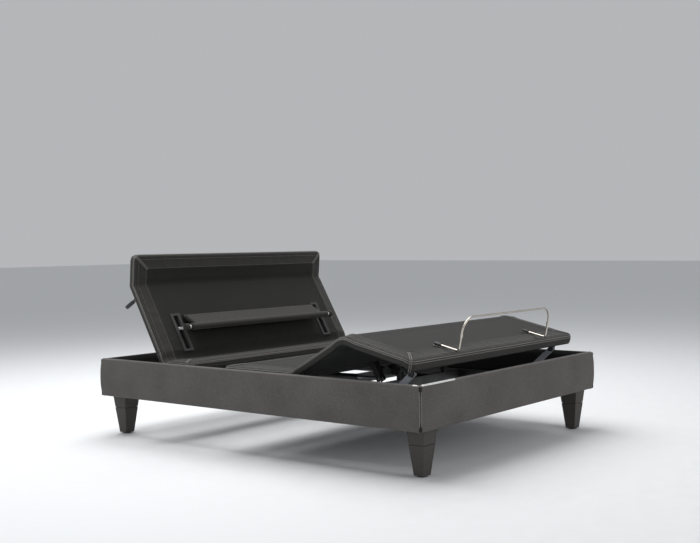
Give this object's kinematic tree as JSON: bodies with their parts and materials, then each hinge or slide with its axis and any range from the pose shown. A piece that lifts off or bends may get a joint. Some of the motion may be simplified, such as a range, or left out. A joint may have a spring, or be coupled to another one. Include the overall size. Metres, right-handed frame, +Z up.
{
  "type": "adjustable bed base",
  "caption": "Queen adjustable bed base with upholstered rails on tapered legs, a rising back with pillow tilt and lumbar support, rising thigh and foot sections and a mattress retainer.",
  "frame": {"origin": "on the floor under the middle of the rails", "axes": "+Z up, +Y along the length towards the head end, +X across the width"},
  "size_m": [1.524, 2.032, 0.9214],
  "materials": {
    "rail_fabric": "woven",
    "deck_fabric": "woven",
    "field_fabric": "woven",
    "board": "black laminate",
    "frame_paint": "satin powder coat",
    "zinc_steel": "satin",
    "chrome": "polished",
    "black_plastic": "matte",
    "pale_plastic": "matte",
    "link_paint": "satin",
    "bright_trim": "satin"
  },
  "bodies": {
    "root": {"side_rail_left": "rail_fabric", "side_rail_right": "rail_fabric", "head_rail": "rail_fabric", "foot_rail": "rail_fabric", "rail_corner_trim": "bright_trim", "leg_risers": "rail_fabric", "legs": "rail_fabric", "leg_glides": "black_plastic", "leg_bolts": "zinc_steel", "corner_brackets": "frame_paint", "frame_side_left": "frame_paint", "frame_side_right": "frame_paint", "frame_head_tube": "frame_paint", "frame_foot_tube": "frame_paint", "seat_cross_tubes": "frame_paint", "lift_cross_tube": "frame_paint", "link_cross_tube": "frame_paint", "pivot_bearings": "frame_paint", "support_posts": "frame_paint", "slide_channels": "zinc_steel", "seat_board": "board", "seat_pad": "deck_fabric", "seat_hinges": "zinc_steel", "control_box": "black_plastic", "power_supply": "black_plastic", "head_motor": "black_plastic"},
    "head_carriage": {"carriage_frame": "frame_paint", "carriage_shoes": "pale_plastic", "head_motor_rod": "zinc_steel", "bridge_board": "board", "bridge_pad": "deck_fabric", "bridge_hinges": "zinc_steel"},
    "back_section": {"back_board": "board", "back_pad": "deck_fabric", "back_hinges": "zinc_steel", "back_brackets": "frame_paint", "rear_stops": "black_plastic", "lumbar_slots": "black_plastic"},
    "lumbar_support": {"lumbar_flap": "deck_fabric", "lumbar_bar": "field_fabric"},
    "lumbar_struts": {"lumbar_struts": "chrome"},
    "tilt_motor": {"tilt_motor": "black_plastic"},
    "tilt_motor_rod": {"tilt_motor_rod": "zinc_steel"},
    "pillow_section": {"pillow_board": "board", "pillow_pad": "deck_fabric", "pillow_hinges": "zinc_steel"},
    "lift_arms": {"lift_arms": "zinc_steel"},
    "lift_rollers": {"lift_rollers": "pale_plastic"},
    "thigh_section": {"thigh_board": "board", "thigh_pad": "deck_fabric", "thigh_crank": "frame_paint", "thigh_hinges": "zinc_steel"},
    "foot_section": {"foot_board": "board", "foot_pad": "deck_fabric", "foot_hinges": "zinc_steel", "retainer_sockets": "chrome"},
    "foot_links": {"foot_links": "link_paint"},
    "foot_motor": {"foot_motor": "black_plastic"},
    "foot_motor_rod": {"foot_motor_rod": "zinc_steel"},
    "retainer_bar": {"retainer_bar": "chrome"}
  },
  "joints": [
    {"name": "head_lift", "type": "hinge", "parent": "head_carriage", "child": "back_section", "pos_m": [0, 0.604, 0.375], "axis": [1, 0, 0], "range_deg": [-59.5, 0]},
    {"name": "carriage_slide", "type": "slide", "parent": "root", "child": "head_carriage", "axis": [0, 1, 0], "range_m": [-0.2402, 0.0002]},
    {"name": "pillow_tilt", "type": "hinge", "parent": "back_section", "child": "pillow_section", "pos_m": [0, 0.83239, 0.76273], "axis": [1, 0, 0], "range_deg": [-34.6, 0]},
    {"name": "tilt_motor_swing", "type": "hinge", "parent": "back_section", "child": "tilt_motor", "pos_m": [0, 0.73183, 0.47379], "axis": [1, 0, 0], "range_deg": [-5.98, 0.05]},
    {"name": "tilt_motor_stroke", "type": "slide", "parent": "tilt_motor", "child": "tilt_motor_rod", "axis": [0, 0.4157, 0.9095], "range_m": [-0.0275, 0.0003]},
    {"name": "lumbar_lift", "type": "hinge", "parent": "back_section", "child": "lumbar_support", "pos_m": [0, 0.69291, 0.59885], "axis": [-1, 0, 0], "range_deg": [-26.5, 0]},
    {"name": "lumbar_strut_swing", "type": "hinge", "parent": "lumbar_support", "child": "lumbar_struts", "pos_m": [0, 0.59895, 0.552], "axis": [-1, 0, 0], "range_deg": [-20.46, 0.1]},
    {"name": "lift_arm_swing", "type": "hinge", "parent": "root", "child": "lift_arms", "pos_m": [0, 0.66, 0.23], "axis": [-1, 0, 0], "range_deg": [-50.99, 0.1]},
    {"name": "lift_roller_spin", "type": "hinge", "parent": "lift_arms", "child": "lift_rollers", "pos_m": [0, 0.66059, 0.41], "axis": [1, 0, 0], "continuous": true},
    {"name": "thigh_lift", "type": "hinge", "parent": "root", "child": "thigh_section", "pos_m": [0, -0.25, 0.375], "axis": [-1, 0, 0], "range_deg": [-29.5, 0]},
    {"name": "knee_bend", "type": "hinge", "parent": "thigh_section", "child": "foot_section", "pos_m": [0, -0.55505, 0.53035], "axis": [1, 0, 0], "range_deg": [-42.1, 0.1]},
    {"name": "foot_link_swing", "type": "hinge", "parent": "root", "child": "foot_links", "pos_m": [0, -0.66975, 0.245], "axis": [-1, 0, 0], "range_deg": [-26.91, 0.1]},
    {"name": "foot_motor_swing", "type": "hinge", "parent": "root", "child": "foot_motor", "pos_m": [0, 0.15, 0.305], "axis": [-1, 0, 0], "range_deg": [-5.33, 0.05]},
    {"name": "foot_motor_stroke", "type": "slide", "parent": "foot_motor", "child": "foot_motor_rod", "axis": [0, -0.9999, 0.0162], "range_m": [-0.043, 0.0003]},
    {"name": "retainer_pull", "type": "slide", "parent": "foot_section", "child": "retainer_bar", "axis": [0, -0.9763, -0.2164], "range_m": [0, 0.05]}
  ],
  "couplings": [
    {"joint": "carriage_slide", "follows": "head_lift", "m_per_rad": 0.23111},
    {"joint": "lift_arm_swing", "follows": "head_lift", "ratio": 0.85534},
    {"joint": "tilt_motor_swing", "follows": "pillow_tilt", "ratio": 0.17152},
    {"joint": "tilt_motor_stroke", "follows": "pillow_tilt", "m_per_rad": 0.045123},
    {"joint": "lumbar_strut_swing", "follows": "lumbar_lift", "ratio": 0.7682},
    {"joint": "knee_bend", "follows": "thigh_lift", "ratio": 1.4237},
    {"joint": "foot_link_swing", "follows": "thigh_lift", "ratio": 0.90884},
    {"joint": "foot_motor_swing", "follows": "thigh_lift", "ratio": 0.17893},
    {"joint": "foot_motor_stroke", "follows": "thigh_lift", "m_per_rad": 0.08286}
  ]
}
